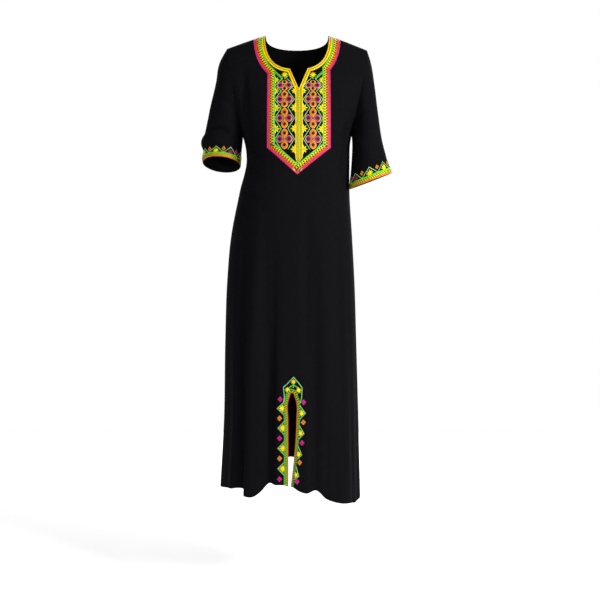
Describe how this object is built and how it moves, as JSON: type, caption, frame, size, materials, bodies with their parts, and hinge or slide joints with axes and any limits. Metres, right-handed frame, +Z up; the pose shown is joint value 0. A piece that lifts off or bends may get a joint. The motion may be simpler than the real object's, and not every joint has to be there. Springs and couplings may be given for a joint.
{
  "type": "jebba dress",
  "caption": "Black ankle-length jebba with elbow sleeves, notched neck, embroidered yoke, braided cuffs and a braid-edged front hem slit, held in its worn form.",
  "frame": {"origin": "midway between the two shoulder seams, at the height where a wearer's shoulders carry the dress", "axes": "+Z up towards the neck, front towards -Y, the wearer's left towards +X"},
  "size_m": [0.513, 0.3027, 1.2457],
  "materials": {
    "crepe": "matte black crepe",
    "embroidery": "satin machine embroidery in yellow, pink, orange and green thread",
    "braid": "stitched braid in yellow, green and orange thread"
  },
  "bodies": {
    "root": {"front_panel": "crepe", "back_panel": "crepe", "sleeve_left": "crepe", "sleeve_right": "crepe", "cuff_braid_left": "braid", "cuff_braid_right": "braid", "neck_yoke": "embroidery", "neck_band_back": "embroidery", "slit_braid": "braid"}
  },
  "joints": []
}
